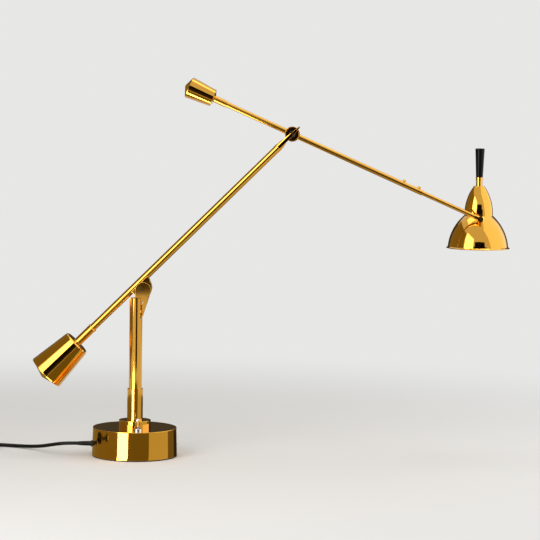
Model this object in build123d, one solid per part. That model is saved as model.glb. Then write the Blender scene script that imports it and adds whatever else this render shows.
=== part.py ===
"""A counterweight balance desk lamp, one solid per physical piece.

Millimetres, +Z up. The origin is the centre of the base's resting face. The arms lie in
the plane Y = 0: +X points to the shade, -Y to the side the lamp is looked at from.
"""

import math
import os

from build123d import *

# ---- base ----
base_foot_radius = 78.5
base_top_radius = 77.0
base_height = 53.0
pad_height = 2.0
pad_inset = 1.0
shell_wall = 2.5
deck_thickness = 3.0
plate_thickness = 3.0
ballast_top_room = 3.0
ballast_gap = 0.8
edge_round = 0.8
tie_circle_radius = 57.0
tie_screw_radius = 2.5
tie_head_radius = 4.6
tie_head_height = 1.8
tie_boss_radius = 6.0
tie_angles = (45, 135, 225, 315)
channel_half_width = 10.0
channel_end = 22.0
ballast_room = 0.3
switch_room = 2.0

# ---- collar, sleeve and swivel ----
collar_radius = 29.5
collar_height = 13.5
sleeve_radius = 14.5
sleeve_top = 123.0
sleeve_wall = 1.5
sleeve_lip = 3.0
sleeve_bottom = 11.0
lip_bore_radius = 9.0
sleeve_nut_radius = 22.0
sleeve_nut_height = 7.0
sleeve_nut_notch = 5.0
sleeve_nut_notch_depth = 3.0
thrust_thickness = 1.3
bush_length = 9.0
bush_flange = 1.2
lower_bush_bottom = 18.0
running_clearance = 0.06
fixed_clearance = 0.02
stop_below_bush = 6.0
stop_groove_width = 4.0
stop_groove_depth = 0.7
stop_screw_radius = 1.5
stop_screw_head = 1.4
stop_screw_room = 0.15
stop_margin = 1.5
swivel_range = 155.0

# ---- column ----
column_radius = 12.0
column_wall = 1.4
column_top = 291.0
head_slot_bottom = 257.0
head_slot_room = 0.1
head_web_thickness = 10.0
head_web_room = 2.2
head_plug_above_slot = 5.0
head_plug_length = 30.0
saddle_room = 0.35
disc_notch_room = 0.4
disc_notch_back = 2.0
head_wire_bore_radius = 3.0
wire_radius = 2.0
cheek_gap = 14.8
cheek_thickness = 2.0
cheek_radius = 14.5
cheek_tail_x = 11.6
cheek_tail_radius = 1.6
cheek_heel_x = 1.0
cheek_round = 0.8
cheek_rest_gap = 0.3
tail_gap = 0.12
cheek_side_gap = 0.3
head_set_screw_drop = 1.5
head_set_screw_angle = -45.0
head_set_screw_radius = 1.5
head_set_screw_depth = 6.0
head_button_above_slot = 10.0
head_button_angle = -38.0
head_button_radius = 2.2
head_button_rise = 1.4
head_button_seat = 0.25
head_button_shank = 1.2
head_button_depth = 5.0

# ---- arms ----
shoulder_x = 12.5
shoulder_z = 306.2
lower_angle = 45.0
shoulder_reach = 394.0
shoulder_offset = 14.5
upper_angle = -23.45
shoulder_raise = 10.0

shoulder_disc_radius = 20.0
shoulder_disc_rise = 5.0
shoulder_disc_back = 17.5
shoulder_disc_drop = 1.5
shoulder_toe_reach = 23.0
shoulder_toe_radius = 1.5
shoulder_washer_thickness = 0.3
shoulder_washer_radius = 9.0
shoulder_pin_radius = 3.0
pin_head_height = 1.2

lower_tube_radius = 6.7
lower_tube_wall = 1.2
fork_reach = 36.0
fork_root_length = 6.0
fork_root_radius = 7.0
fork_root_start = 33.0
fork_root_overlap = 3.0
fork_spigot_length = 16.0
tongue_thickness = 2.2
tongue_curve = 8.2
tongue_round = 0.4
tongue_eye_radius = 3.1
tongue_tip = 19.0
tongue_tip_radius = 1.2
tongue_heel_x = 19.0
tongue_heel_z = 0.9
tongue_heel_radius = 4.2
tongue_heel_start = 30.0

rear_sleeve_behind = 114.5
rear_sleeve_radius = 7.9
ferrule_radius = 8.6
ferrule_length = 2.2
large_weight_behind = 154.7
large_weight_length = 79.0
large_narrow_radius = 25.6
large_wide_radius = 35.0
large_shell_wall = 3.0
large_chamfer = 2.0
large_cap_height = 12.0
large_cap_rim = 1.2
arm_tube_overlap = 14.0

elbow_disc_radius = 13.75
elbow_disc_thickness = 10.0
elbow_rim_width = 1.9
elbow_rim_rise = 0.3
elbow_rim_round = 0.7
elbow_rim_inner_round = 0.4
elbow_face_recess = 0.5
elbow_hub_radius = 6.0
elbow_washer_thickness = 0.5
elbow_pin_radius = 1.75
elbow_pin_head_radius = 2.4
elbow_pin_head_height = 1.0
elbow_nut_radius = 3.0
elbow_nut_height = 2.8
stub_length = 14.5
spigot_length = 10.0

upper_tube_radius = 5.0
upper_tube_wall = 0.92
upper_tube_end = 261.0
small_sleeve_start = 130.7
small_sleeve_end = 155.5
small_sleeve_radius = 6.25
small_weight_start = 158.4
small_weight_length = 46.8
small_narrow_radius = 15.7
small_wide_radius = 19.6
small_shell_wall = 2.5
small_cap_height = 8.5
knob_positions = (221.5, 251.2)
knob_radius = 2.7
knob_height = 3.6
knob_stem_radius = 1.4

# ---- tip rod and shade joint ----
rod_radius = 4.0
rod_start = 214.0
tip_reach = 377.3
eye_radius = 5.2
eye_thickness = 8.4
eye_neck_radius = 4.7
eye_neck_length = 12.0
eye_socket_depth = 6.0
shade_pin_radius = 2.0
shade_pin_head_radius = 3.4
shade_pin_grip = 7.0
shade_joint_gap = 0.3

# ---- shade ----
shade_setback = 42.0
shade_wall = 0.8
waist_above_pivot = 4.0
dome_radius = 26.2
dome_straight = 4.0
dome_height = 55.0
dome_mid_radius = 21.7
dome_mid_height = 31.5
dome_top_radius = 9.6
bell_neck_radius = 27.2
bell_mid_radius = 44.8
bell_mid_drop = 22.0
bell_radius = 55.8
bell_height = 60.0
rim_radius = 58.5
rim_height = 3.2
waist_ring_height = 9.0
waist_ring_wall = 1.8
boss_radius = 5.4
ferrule_neck_radius = 6.0
neck_ferrule_height = 8.6
neck_groove = 0.8
collar_ring_height = 6.8
handle_height = 53.0
handle_foot_radius = 6.3
handle_top_radius = 8.6
handle_round = 1.6
stud_radius = 2.5
stud_depth = 24.0
holder_radius = 13.5
holder_height = 36.0
holder_top_gap = 6.0
holder_bore_depth = 12.0
holder_bevel = 10.0
holder_neck_radius = 6.0
globe_radius = 22.5
globe_drop = 25.0
bulb_neck_radius = 7.0
bulb_shoulder = 12.0
bulb_wall = 0.9

# ---- switch ----
switch_x = 8.0
switch_y = -47.0
switch_nut_radius = 7.7
switch_nut_height = 3.4
switch_bush_radius = 5.9
switch_box = (20.0, 14.0, 17.0)
lever_ball_radius = 2.6
lever_neck_radius = 1.8
lever_neck_length = 2.6
lever_tip_radius = 4.3
lever_tip_round = 2.4
lever_length = 20.0
lever_lean = 12.0

# ---- cord ----
cord_radius = 3.25
cord_height = 21.0
gland_flange_radius = 6.0
gland_flange_length = 2.2
gland_body_radius = 5.0
gland_nut_radius = 8.0
gland_nut_length = 4.0
relief_root_radius = 4.4
relief_tip_radius = 3.55
coil_x = -306.0
coil_y = 36.0
coil_lift = 4.15
coil_inner_radius = 26.0
coil_pitch = 7.0
coil_turns_per_layer = 3
tie_width = 10.0
tie_thickness = 0.7
tie_gap = 0.6
tie_turn = -60.0
terminal_size = (24.0, 16.0, 22.0)
terminal_x = -36.0
plug_width = 35.0
plug_thickness = 13.8
plug_length = 34.0
plug_tail_length = 16.0
plug_tail_radius = 5.2
plug_pin_radius = 2.0
plug_pin_length = 19.0
plug_pin_spacing = 18.6

run_points = [
    (-104.0, 0.0, 21.0),
    (-126.0, 0.0, 21.0),
    (-149.0, 11.0, 16.6),
    (-173.0, 34.0, 9.2),
    (-200.0, 57.0, 4.7),
    (-229.0, 72.5, 3.5),
    (-257.0, 79.8, 3.7),
    (-280.0, 83.0, 4.15),
    (-299.5, 83.0, 4.15),
]
tail_points = [
    (-353.0, 29.5, 11.15),
    (-353.0, 11.0, 11.15),
    (-353.5, -8.0, 7.4),
    (-353.0, -28.0, 4.3),
    (-352.0, -49.0, 4.5),
    (-351.5, -70.0, 7.0),
    (-351.5, -89.0, 7.0),
]

# ---- worked out from the values above ----
deck_underside = base_height - deck_thickness
ballast_bottom = pad_height + plate_thickness
ballast_top = deck_underside - sleeve_nut_height - ballast_top_room
sleeve_bore = sleeve_radius - sleeve_wall
stop_height = sleeve_top - bush_length - stop_below_bush
column_bottom = sleeve_bottom + sleeve_lip + thrust_thickness
column_bore = column_radius - column_wall
cheek_face = cheek_gap / 2
cheek_outer = cheek_face + cheek_thickness
head_plug_top = head_slot_bottom + head_plug_above_slot
head_web_half = head_web_thickness / 2
head_web_top = shoulder_z - shoulder_disc_radius - shoulder_disc_rise - head_web_room
cheek_rest = column_top + cheek_rest_gap
tail_x = column_radius + tail_gap
column_wire_top = head_plug_top - 2
disc_half = cheek_face - shoulder_washer_thickness
through = 2 * cheek_outer
elbow_half = elbow_disc_thickness / 2
tongue_face = elbow_half + elbow_washer_thickness
tongue_outer = tongue_face + tongue_thickness
lower_bore = lower_tube_radius - lower_tube_wall
upper_bore = upper_tube_radius - upper_tube_wall
lower_turn = math.radians(lower_angle)
elbow_x = (
    shoulder_x + shoulder_reach * math.cos(lower_turn) - shoulder_offset * math.sin(lower_turn)
)
elbow_z = (
    shoulder_z + shoulder_reach * math.sin(lower_turn) + shoulder_offset * math.cos(lower_turn)
)
pivot_x = elbow_x + tip_reach * math.cos(math.radians(upper_angle))
pivot_z = elbow_z + tip_reach * math.sin(math.radians(upper_angle))
waist_z = pivot_z + waist_above_pivot
boss_face = eye_thickness / 2 + shade_joint_gap

rear_sleeve_start = shoulder_reach + rear_sleeve_behind
large_weight_start = shoulder_reach + large_weight_behind

LOWER = Location((elbow_x, 0, elbow_z)) * Rot(0, -lower_angle, 0)
UPPER = Location((elbow_x, 0, elbow_z)) * Rot(0, -upper_angle, 0)
SHADE = Location((pivot_x, shade_setback, waist_z))
TOWARDS_SHADE = Rot(0, 90, 0)
TOWARDS_WEIGHT = Rot(0, -90, 0)
ALONG_Y = Rot(-90, 0, 0)


# ---- helpers ----
def turned(points):
    """A solid turned about Z from the corners (radius, height) of its section."""
    return revolve(Plane.XZ * make_face(Polyline(points, close=True)), Axis.Z)


def turned_face(edges):
    """A solid turned about Z from the closed line of its section."""
    return revolve(Plane.XZ * make_face(edges), Axis.Z)


def rod(radius, low, high):
    """A round bar about Z."""
    return Pos(0, 0, low) * extrude(Circle(radius), high - low)


def pipe(outer, inner, low, high):
    """A round tube about Z."""
    return Pos(0, 0, low) * extrude(Circle(outer) - Circle(inner), high - low)


def bar_y(radius, low, high, x=0.0, z=0.0):
    """A round bar along Y, between two values of Y."""
    return Pos(x, 0, z) * ALONG_Y * rod(radius, low, high)


def bar_x(radius, low, high, z=0.0):
    """A round bar along X, between two values of X."""
    return Pos(0, 0, z) * TOWARDS_SHADE * rod(radius, low, high)


def block(low, high):
    """A box between two corners."""
    size = [high[i] - low[i] for i in range(3)]
    middle = [(high[i] + low[i]) / 2 for i in range(3)]
    return Pos(*middle) * Box(*size)


def slab(outline, low, high):
    """A flat outline drawn in X and Z, thick from low to high in Y."""
    return Pos(0, high, 0) * extrude(Plane.XZ * outline, high - low)


def hexagon_y(across, low, high):
    """A hexagonal bar along Y, across its flats."""
    return slab(RegularPolygon(across / 2, 6, major_radius=False), low, high)


# ---- base ----
def outer_radius_at(height):
    share = (height - pad_height) / (base_height - pad_height)
    return base_foot_radius + share * (base_top_radius - base_foot_radius)


def tie_places():
    for angle in tie_angles:
        turn = math.radians(angle)
        yield tie_circle_radius * math.cos(turn), tie_circle_radius * math.sin(turn)


def make_base_shell():
    foot_inner = base_foot_radius - shell_wall
    top_inner = outer_radius_at(deck_underside) - shell_wall
    shell = turned(
        [
            (sleeve_radius + fixed_clearance, base_height),
            (base_top_radius, base_height),
            (base_foot_radius, pad_height),
            (foot_inner, pad_height),
            (top_inner, deck_underside),
            (sleeve_radius + fixed_clearance, deck_underside),
        ]
    )
    rim = shell.edges().filter_by(GeomType.CIRCLE).sort_by(SortBy.RADIUS)
    top_edge = [e for e in rim if abs(e.center().Z - base_height) < 1e-6][-1]
    shell = fillet(top_edge, edge_round)
    for x, y in tie_places():
        shell += Pos(x, y, 0) * rod(tie_boss_radius, ballast_top, deck_underside)
        shell -= Pos(x, y, 0) * rod(tie_screw_radius, ballast_top, deck_underside)
    shell -= Pos(switch_x, switch_y, 0) * rod(
        switch_bush_radius + fixed_clearance, deck_underside, base_height
    )
    shell -= (
        Pos(-base_foot_radius - 1, 0, cord_height)
        * TOWARDS_SHADE
        * rod(gland_body_radius + fixed_clearance, 0, 2 * shell_wall + 1)
    )
    return shell


def make_base_pad():
    return rod(base_foot_radius - pad_inset, 0, pad_height)


def make_base_plate():
    radius = base_foot_radius - shell_wall - ballast_gap
    plate = pipe(radius, lip_bore_radius, pad_height, ballast_bottom)
    for x, y in tie_places():
        plate -= Pos(x, y, 0) * rod(tie_screw_radius, pad_height, ballast_bottom)
        plate -= Pos(x, y, 0) * rod(tie_head_radius, pad_height, pad_height + tie_head_height)
    return plate


def make_tie_screws():
    screws = []
    head_top = pad_height + tie_head_height
    for x, y in tie_places():
        head = rod(tie_head_radius - 0.1, pad_height + 0.1, head_top)
        shank = rod(tie_screw_radius - fixed_clearance, head_top, deck_underside)
        screws.append(Pos(x, y, 0) * (head + shank))
    return Compound(screws)


def make_ballast():
    radius = outer_radius_at(ballast_top) - shell_wall - ballast_gap
    top = ballast_top
    ballast = pipe(radius, sleeve_radius + ballast_room, ballast_bottom, top)
    ballast -= block(
        (-radius - 1, -channel_half_width, 0), (-channel_end, channel_half_width, top + 1)
    )
    half_x = switch_box[0] / 2 + switch_room
    half_y = switch_box[1] / 2 + switch_room
    ballast -= block(
        (switch_x - half_x, switch_y - half_y, 0), (switch_x + half_x, switch_y + half_y, top + 1)
    )
    for x, y in tie_places():
        ballast -= Pos(x, y, 0) * rod(tie_screw_radius + ballast_room, 0, top + 1)
    return ballast


def make_base_collar():
    top = base_height + collar_height
    collar = pipe(collar_radius, sleeve_radius + fixed_clearance, base_height, top)
    rim = collar.edges().filter_by(GeomType.CIRCLE).sort_by(SortBy.RADIUS)
    top_edge = [e for e in rim if abs(e.center().Z - top) < 1e-6][-1]
    return fillet(top_edge, edge_round)


def make_column_sleeve():
    sleeve = pipe(sleeve_radius, sleeve_bore, sleeve_bottom, sleeve_top)
    sleeve += pipe(sleeve_bore, lip_bore_radius, sleeve_bottom, sleeve_bottom + sleeve_lip)
    sleeve -= bar_y(stop_screw_radius, 0, sleeve_radius + 1, z=stop_height)
    return sleeve


def make_sleeve_nut():
    low = deck_underside - sleeve_nut_height
    nut = pipe(sleeve_nut_radius, sleeve_radius + fixed_clearance, low, deck_underside)
    half = sleeve_nut_notch / 2
    depth = sleeve_nut_notch_depth
    for turn in range(4):
        notch = block(
            (sleeve_nut_radius - depth, -half, low - 1), (sleeve_nut_radius + 1, half, low + depth)
        )
        nut -= Rot(0, 0, 90 * turn) * notch
    return nut


def make_swivel_bushes():
    bore = column_radius + running_clearance
    outer = sleeve_bore - fixed_clearance
    lower = pipe(outer, bore, lower_bush_bottom, lower_bush_bottom + bush_length)
    upper = pipe(outer, bore, sleeve_top - bush_length, sleeve_top)
    upper += pipe(sleeve_radius - 0.3, bore, sleeve_top, sleeve_top + bush_flange)
    seat = sleeve_bottom + sleeve_lip
    washer = pipe(sleeve_bore - 0.2, lip_bore_radius, seat, seat + thrust_thickness)
    return Compound([lower, upper, washer])


def make_stop_screw():
    tip = column_radius - stop_groove_depth + stop_screw_room
    head_face = sleeve_radius + stop_screw_head
    screw = bar_y(stop_screw_radius - fixed_clearance, tip, sleeve_radius, z=stop_height)
    screw += bar_y(stop_screw_radius + 1, sleeve_radius, head_face, z=stop_height)
    return screw


def make_terminal_block():
    length, width, height = terminal_size
    body = block(
        (terminal_x - length / 2, -width / 2, ballast_bottom),
        (terminal_x + length / 2, width / 2, ballast_bottom + height),
    )
    for y in (-4.0, 4.0):
        top = ballast_bottom + height
        body -= Pos(terminal_x, y, 0) * rod(1.8, top - 5, top)
    return body


# ---- switch ----
def make_switch_body():
    length, width, height = switch_box
    body = block(
        (-length / 2, -width / 2, deck_underside - height), (length / 2, width / 2, deck_underside)
    )
    body += rod(switch_bush_radius, deck_underside, base_height + switch_nut_height)
    socket_radius = lever_ball_radius + running_clearance
    x, y, z = lever_pivot()
    socket = Pos(0, 0, z) * Sphere(socket_radius)
    socket += rod(socket_radius, z, base_height + switch_nut_height)
    return Pos(switch_x, switch_y, 0) * (body - socket)


def make_switch_nut():
    nut = pipe(
        switch_nut_radius,
        switch_bush_radius + fixed_clearance,
        base_height,
        base_height + switch_nut_height,
    )
    rim = nut.edges().filter_by(GeomType.CIRCLE).sort_by(SortBy.RADIUS)
    top_edge = [e for e in rim if e.center().Z > base_height + 1][-1]
    return Pos(switch_x, switch_y, 0) * fillet(top_edge, 0.6)


def lever_pivot():
    return (switch_x, switch_y, base_height + switch_nut_height - lever_ball_radius * 0.4)


def make_switch_lever():
    stalk = turned(
        [
            (0, 0),
            (lever_neck_radius, 0),
            (lever_neck_radius, lever_neck_length),
            (lever_tip_radius, lever_length),
            (0, lever_length),
        ]
    )
    top = stalk.edges().filter_by(GeomType.CIRCLE).sort_by(Axis.Z)[-1]
    lever = Sphere(lever_ball_radius) + fillet(top, lever_tip_round)
    return Pos(*lever_pivot()) * Rot(lever_lean, 0, 0) * lever


# ---- cord ----
def corner_radii(points):
    """The radius of the tangent arc at each inner point of a route."""
    vectors = [Vector(*p) for p in points]
    radii = []
    for i in range(1, len(vectors) - 1):
        before = vectors[i] - vectors[i - 1]
        after = vectors[i + 1] - vectors[i]
        half_turn = math.radians(before.get_angle(after) / 2)
        radii.append(0.45 * min(before.length, after.length) / math.tan(half_turn))
    return radii


def make_tube(points, name):
    """A cord's solid along straight runs joined by tangent arcs."""
    radii = corner_radii(points)
    path = FilletPolyline(*points, radius=radii)
    first = (Vector(*points[1]) - Vector(*points[0])).normalized()
    tube = sweep(Plane(origin=points[0], z_dir=first) * Circle(cord_radius), path=path)
    section = math.pi * cord_radius**2
    print(name, "radii", [round(r) for r in radii])
    print(name, "length", round(path.length, 1), "volume", round(tube.volume))
    print(name, "section times length", round(section * path.length))
    return tube


def biarc(start, start_way, end, end_way):
    """Two tangent arcs from one point and direction to another."""
    chord = (end - start).length
    reach = chord / 2
    upper = start + start_way * reach
    lower = end - end_way * reach
    for _ in range(60):
        gap = (lower - upper).length
        reach += (gap / 2 - reach) * 0.5
        upper = start + start_way * reach
        lower = end - end_way * reach
    middle = (upper + lower) / 2
    way = (lower - upper).normalized()
    first = TangentArc(start, middle, tangent=start_way)
    second = TangentArc(middle, end, tangent=way)
    return [first, second]


def coil_half_turns():
    """Radius, centre and height of each half turn: in on the floor, then out on top."""
    turns = []
    halves = 2 * coil_turns_per_layer
    outer = coil_inner_radius + coil_pitch * coil_turns_per_layer
    for k in range(halves):
        centre = -coil_pitch / 2 if k % 2 else 0.0
        turns.append((outer - k * coil_pitch / 2, centre, 0.0, 0.0))
    turns.append((coil_inner_radius, 0.0, 0.0, coil_pitch))
    for k in range(1, halves):
        centre = coil_pitch / 2 if k % 2 else 0.0
        turns.append((coil_inner_radius + k * coil_pitch / 2, centre, coil_pitch, coil_pitch))
    return turns


def coil_edges():
    """The coil's centre line about its own centre, first on the floor, last on top."""
    outer = coil_inner_radius + coil_pitch * coil_turns_per_layer
    edges = []
    for k, (radius, centre, low, high) in enumerate(coil_half_turns()):
        side = -1 if k % 2 else 1
        start = Vector(centre + side * radius, 0, low)
        end = Vector(centre - side * radius, 0, high)
        way = Vector(0, side, 0)
        if high > low:
            edges += biarc(start, way, end, -way)
        else:
            top = Vector(centre, side * radius, low)
            edges.append(ThreePointArc(start, top, end))
    top = coil_pitch
    turn = math.radians(45)
    bend = (outer * math.cos(turn), outer * math.sin(turn), top)
    edges.append(ThreePointArc((outer, 0, top), bend, (0, outer, top)))
    lead = Line((outer, -2 * cord_radius, 0), (outer, 0, 0))
    leave = Line((0, outer, top), (-2 * cord_radius, outer, top))
    return [lead] + edges + [leave]


def print_coil_gap(path):
    """Print the least gap between one part of the coil's tube and another."""
    count = 700
    points = [path @ (i / count) for i in range(count + 1)]
    step = path.length / count
    skip = int(4 * cord_radius / step) + 2
    least = min(
        (points[i] - points[j]).length
        for i in range(0, count + 1, 2)
        for j in range(i + skip, count + 1)
    )
    print("coil length", round(path.length, 1), "least gap", round(least - 2 * cord_radius, 3))


def make_cord_coil():
    path = Wire(coil_edges())
    outer = coil_inner_radius + coil_pitch * coil_turns_per_layer
    start = Plane(origin=(outer, -2 * cord_radius, 0), z_dir=(0, 1, 0))
    tube = sweep(start * Circle(cord_radius), path=path)
    print_coil_gap(path)
    print("coil volume", round(tube.volume), round(math.pi * cord_radius**2 * path.length))
    return Pos(coil_x, coil_y, coil_lift) * Rot(0, 0, 90) * tube


def make_cord_tie():
    inner = coil_inner_radius - cord_radius - tie_gap - coil_pitch / 2
    outer = coil_inner_radius + coil_pitch * coil_turns_per_layer + cord_radius + tie_gap + 0.4
    low = coil_lift - cord_radius - 0.2
    high = coil_lift + coil_pitch + cord_radius + tie_gap
    wide = outer - inner
    tall = high - low
    band = RectangleRounded(wide + 2 * tie_thickness, tall + 2 * tie_thickness, 2.2)
    hole = RectangleRounded(wide, tall, 1.5)
    ring = slab(band - hole, -tie_width / 2, tie_width / 2)
    ring = Pos((inner + outer) / 2, 0, (low + high) / 2) * ring
    return Pos(coil_x, coil_y, 0) * Rot(0, 0, tie_turn) * ring


def make_cord_gland():
    wall = outer_radius_at(cord_height)
    inside = wall - shell_wall
    body = rod(gland_body_radius, inside - gland_nut_length, wall + 1)
    seat = outer_radius_at(cord_height - gland_flange_radius) + fixed_clearance
    flange = rod(gland_flange_radius, seat, wall + gland_flange_length)
    nut = rod(gland_nut_radius, inside - gland_nut_length - 1, inside - 1)
    gland = body + flange + nut
    gland -= rod(cord_radius, 0, inside)
    return Pos(0, 0, cord_height) * TOWARDS_WEIGHT * gland


def make_cord_relief():
    start = outer_radius_at(cord_height) + gland_flange_length
    end = -run_points[0][0]
    relief = turned(
        [(0, start), (relief_root_radius, start), (relief_tip_radius, end), (0, end)]
    )
    return Pos(0, 0, cord_height) * TOWARDS_WEIGHT * relief


def make_inner_lead():
    start = -(terminal_x - terminal_size[0] / 2)
    end = outer_radius_at(cord_height) - shell_wall
    lead = rod(cord_radius - fixed_clearance, start, end)
    return Pos(0, 0, cord_height) * TOWARDS_WEIGHT * lead


def make_plug():
    x, y, z = tail_points[-1]
    tail = turned(
        [
            (0, 0),
            (cord_radius + 0.5, 0),
            (plug_tail_radius, plug_tail_length + 1),
            (0, plug_tail_length + 1),
        ]
    )
    tail = Rot(90, 0, 0) * tail
    outline = RectangleRounded(plug_width, plug_length, 6)
    body = extrude(outline, plug_thickness / 2, both=True)
    body = fillet(body.edges().filter_by(Plane.XY), 2.2)
    middle = -plug_tail_length - plug_length / 2
    return Pos(x, y, z) * (tail + Pos(0, middle, 0) * body)


def make_plug_pins():
    x, y, z = tail_points[-1]
    start = plug_tail_length + plug_length
    pins = []
    for side in (-1, 1):
        pin = rod(plug_pin_radius, start, start + plug_pin_length - 1)
        point = Cone(plug_pin_radius, plug_pin_radius - 0.8, 1.6)
        pin += Pos(0, 0, start + plug_pin_length - 1) * point
        pins.append(Pos(x + side * plug_pin_spacing / 2, y, z) * Rot(90, 0, 0) * pin)
    return Compound(pins)


# ---- column ----
def make_column_tube():
    slot_half = head_web_half + head_slot_room
    notch_low = shoulder_z - shoulder_disc_radius - disc_notch_room
    tube = pipe(column_radius, column_bore, column_bottom, column_top)
    tube -= block(
        (0, -slot_half, head_slot_bottom), (column_radius + 1, slot_half, column_top + 1)
    )
    tube -= block(
        (-disc_notch_back, -cheek_face - head_slot_room, notch_low),
        (column_radius + 1, cheek_face + head_slot_room, column_top + 1),
    )
    tube -= raised_arm()
    tube -= stop_groove()
    hole = rod(head_set_screw_radius, column_bore - 1, column_radius + 1)
    tube -= set_screw_place() * hole
    tube -= button_place() * rod(head_button_shank, column_bore - 1, column_radius + 1)
    seat = column_radius - head_button_seat
    tube -= button_place() * rod(head_button_radius + fixed_clearance, seat, column_radius + 1)
    return tube


def raised_arm():
    """The space of the lower arm at its highest place, which makes the saddle in the tube's top."""
    arm = bar_x(lower_tube_radius + saddle_room, -4 * column_radius, 0, z=shoulder_offset)
    return Pos(shoulder_x, 0, shoulder_z) * Rot(0, -lower_angle - shoulder_raise, 0) * arm


def stop_groove():
    """The groove round the column, but for the key at the front that meets the stop screw."""
    floor = column_radius - stop_groove_depth
    low = stop_height - stop_groove_width / 2
    high = stop_height + stop_groove_width / 2
    screw_share = math.asin(stop_screw_radius / floor)
    half_key = math.radians(180 - swivel_range - stop_margin) - screw_share
    half = floor * math.sin(half_key)
    key = block((-half, -column_radius - 2, low - 1), (half, 0, high + 1))
    return pipe(column_radius + 1, floor, low, high) - key


def set_screw_place():
    """The black side screw's hole, square to the column's axis."""
    height = head_slot_bottom - head_set_screw_drop
    return Pos(0, 0, height) * Rot(0, 0, head_set_screw_angle) * TOWARDS_SHADE


def button_place():
    """The button screw's hole, square to the column's axis."""
    height = head_slot_bottom + head_button_above_slot
    return Pos(0, 0, height) * Rot(0, 0, head_button_angle) * TOWARDS_SHADE


def cheek_plate():
    """One cheek: whole above the column's top, and only beside the tube below it."""
    plate = cheek_outline()
    reach = 4 * cheek_radius
    side_x = math.sqrt(column_radius**2 - cheek_face**2) + cheek_side_gap
    notch_low = shoulder_z - shoulder_disc_radius - disc_notch_room
    plate -= Pos(side_x - reach, cheek_rest - reach) * Rectangle(
        reach, reach, align=(Align.MIN, Align.MIN)
    )
    plate -= Pos(tail_x - reach, notch_low - reach) * Rectangle(
        reach, reach, align=(Align.MIN, Align.MIN)
    )
    return plate


def make_cheek():
    """The cheek on the far side, with its outer edges rounded."""
    cheek = slab(cheek_plate(), cheek_face, cheek_outer)
    return fillet(cheek.faces().sort_by(Axis.Y)[-1].edges(), cheek_round)


def make_column_head():
    low = head_plug_top - head_plug_length
    plug = rod(column_bore - fixed_clearance, low, head_plug_top)
    far = 3 * cheek_radius
    tail = slab(cheek_outline(), -cheek_face, cheek_face)
    tail &= block((tail_x, -cheek_face, 0), (far, cheek_face, head_web_top))
    web = block(
        (0, -head_web_half, head_slot_bottom), (tail_x + tail_gap, head_web_half, head_web_top)
    )
    cheek = make_cheek()
    head = plug + web + tail + cheek + mirror(cheek, about=Plane.XZ)
    head -= bar_y(shoulder_pin_radius + fixed_clearance, -through, through, shoulder_x, shoulder_z)
    head -= rod(head_wire_bore_radius, low - 1, column_wire_top)
    hole = rod(head_set_screw_radius, column_bore - head_set_screw_depth, column_bore)
    head -= set_screw_place() * hole
    head -= button_place() * rod(head_button_shank, head_button_depth, column_bore)
    return head


def outer_tangent(centre, radius, far_centre, far_radius, side):
    """The points where a straight line touches two circles on the same side."""
    span = Vector(*far_centre) - Vector(*centre)
    lean = math.degrees(math.acos((radius - far_radius) / span.length))
    normal = span.normalized().rotate(Axis.Z, side * lean)
    return Vector(*centre) + normal * radius, Vector(*far_centre) + normal * far_radius


def cheek_outline():
    """A teardrop: round about the pivot, drawn down to the column's right edge."""
    pivot = (shoulder_x, shoulder_z)
    toe_z = head_slot_bottom + cheek_tail_radius
    toe = (cheek_tail_x, toe_z)
    heel = (cheek_heel_x, toe_z)
    right_top, right_foot = outer_tangent(pivot, cheek_radius, toe, cheek_tail_radius, 1)
    left_top, left_foot = outer_tangent(pivot, cheek_radius, heel, cheek_tail_radius, -1)
    corner = cheek_tail_radius * math.sqrt(0.5)
    lines = [
        ThreePointArc(left_top, (shoulder_x, shoulder_z + cheek_radius), right_top),
        Line(right_top, right_foot),
        ThreePointArc(
            right_foot, (cheek_tail_x + corner, toe_z - corner), (cheek_tail_x, head_slot_bottom)
        ),
        Line((cheek_tail_x, head_slot_bottom), (cheek_heel_x, head_slot_bottom)),
        ThreePointArc(
            (cheek_heel_x, head_slot_bottom), (cheek_heel_x - corner, toe_z - corner), left_foot
        ),
        Line(left_foot, left_top),
    ]
    return make_face(lines)


def make_head_screws():
    low = column_bore - head_set_screw_depth
    side = rod(head_set_screw_radius - fixed_clearance, low, column_radius - 0.2)
    seat = column_radius - head_button_seat
    button = rod(head_button_radius, seat, column_radius + head_button_rise)
    top = button.edges().filter_by(GeomType.CIRCLE).sort_by(Axis.Z)[-1]
    button = fillet(top, head_button_rise * 0.7)
    button += rod(head_button_shank - fixed_clearance, head_button_depth, seat)
    return Compound([set_screw_place() * side, button_place() * button])


def make_shoulder_screw():
    screw = bar_y(shoulder_pin_radius, -cheek_outer, cheek_outer)
    screw += bar_y(shoulder_pin_radius + 0.6, -cheek_outer - pin_head_height, -cheek_outer)
    socket = -cheek_outer - pin_head_height
    screw -= hexagon_y(3.0, socket - 1, socket + 1.6)
    nut = bar_y(6.0, cheek_outer, cheek_outer + 1.0)
    nut += hexagon_y(10.0, cheek_outer + 1.0, cheek_outer + 4.0)
    return Pos(shoulder_x, 0, shoulder_z) * (screw + nut)


def make_column_wire():
    return rod(wire_radius, ballast_bottom + 1, column_wire_top)


# ---- lower arm: drawn with the elbow at the origin and the arm along -X ----
def along_lower(shape):
    """Place a piece turned about Z so that Z runs from the elbow to the weight."""
    return LOWER * TOWARDS_WEIGHT * shape


def make_lower_tube():
    start = fork_reach + fork_root_length
    end = large_weight_start + arm_tube_overlap
    return along_lower(pipe(lower_tube_radius, lower_bore, start, end))


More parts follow.
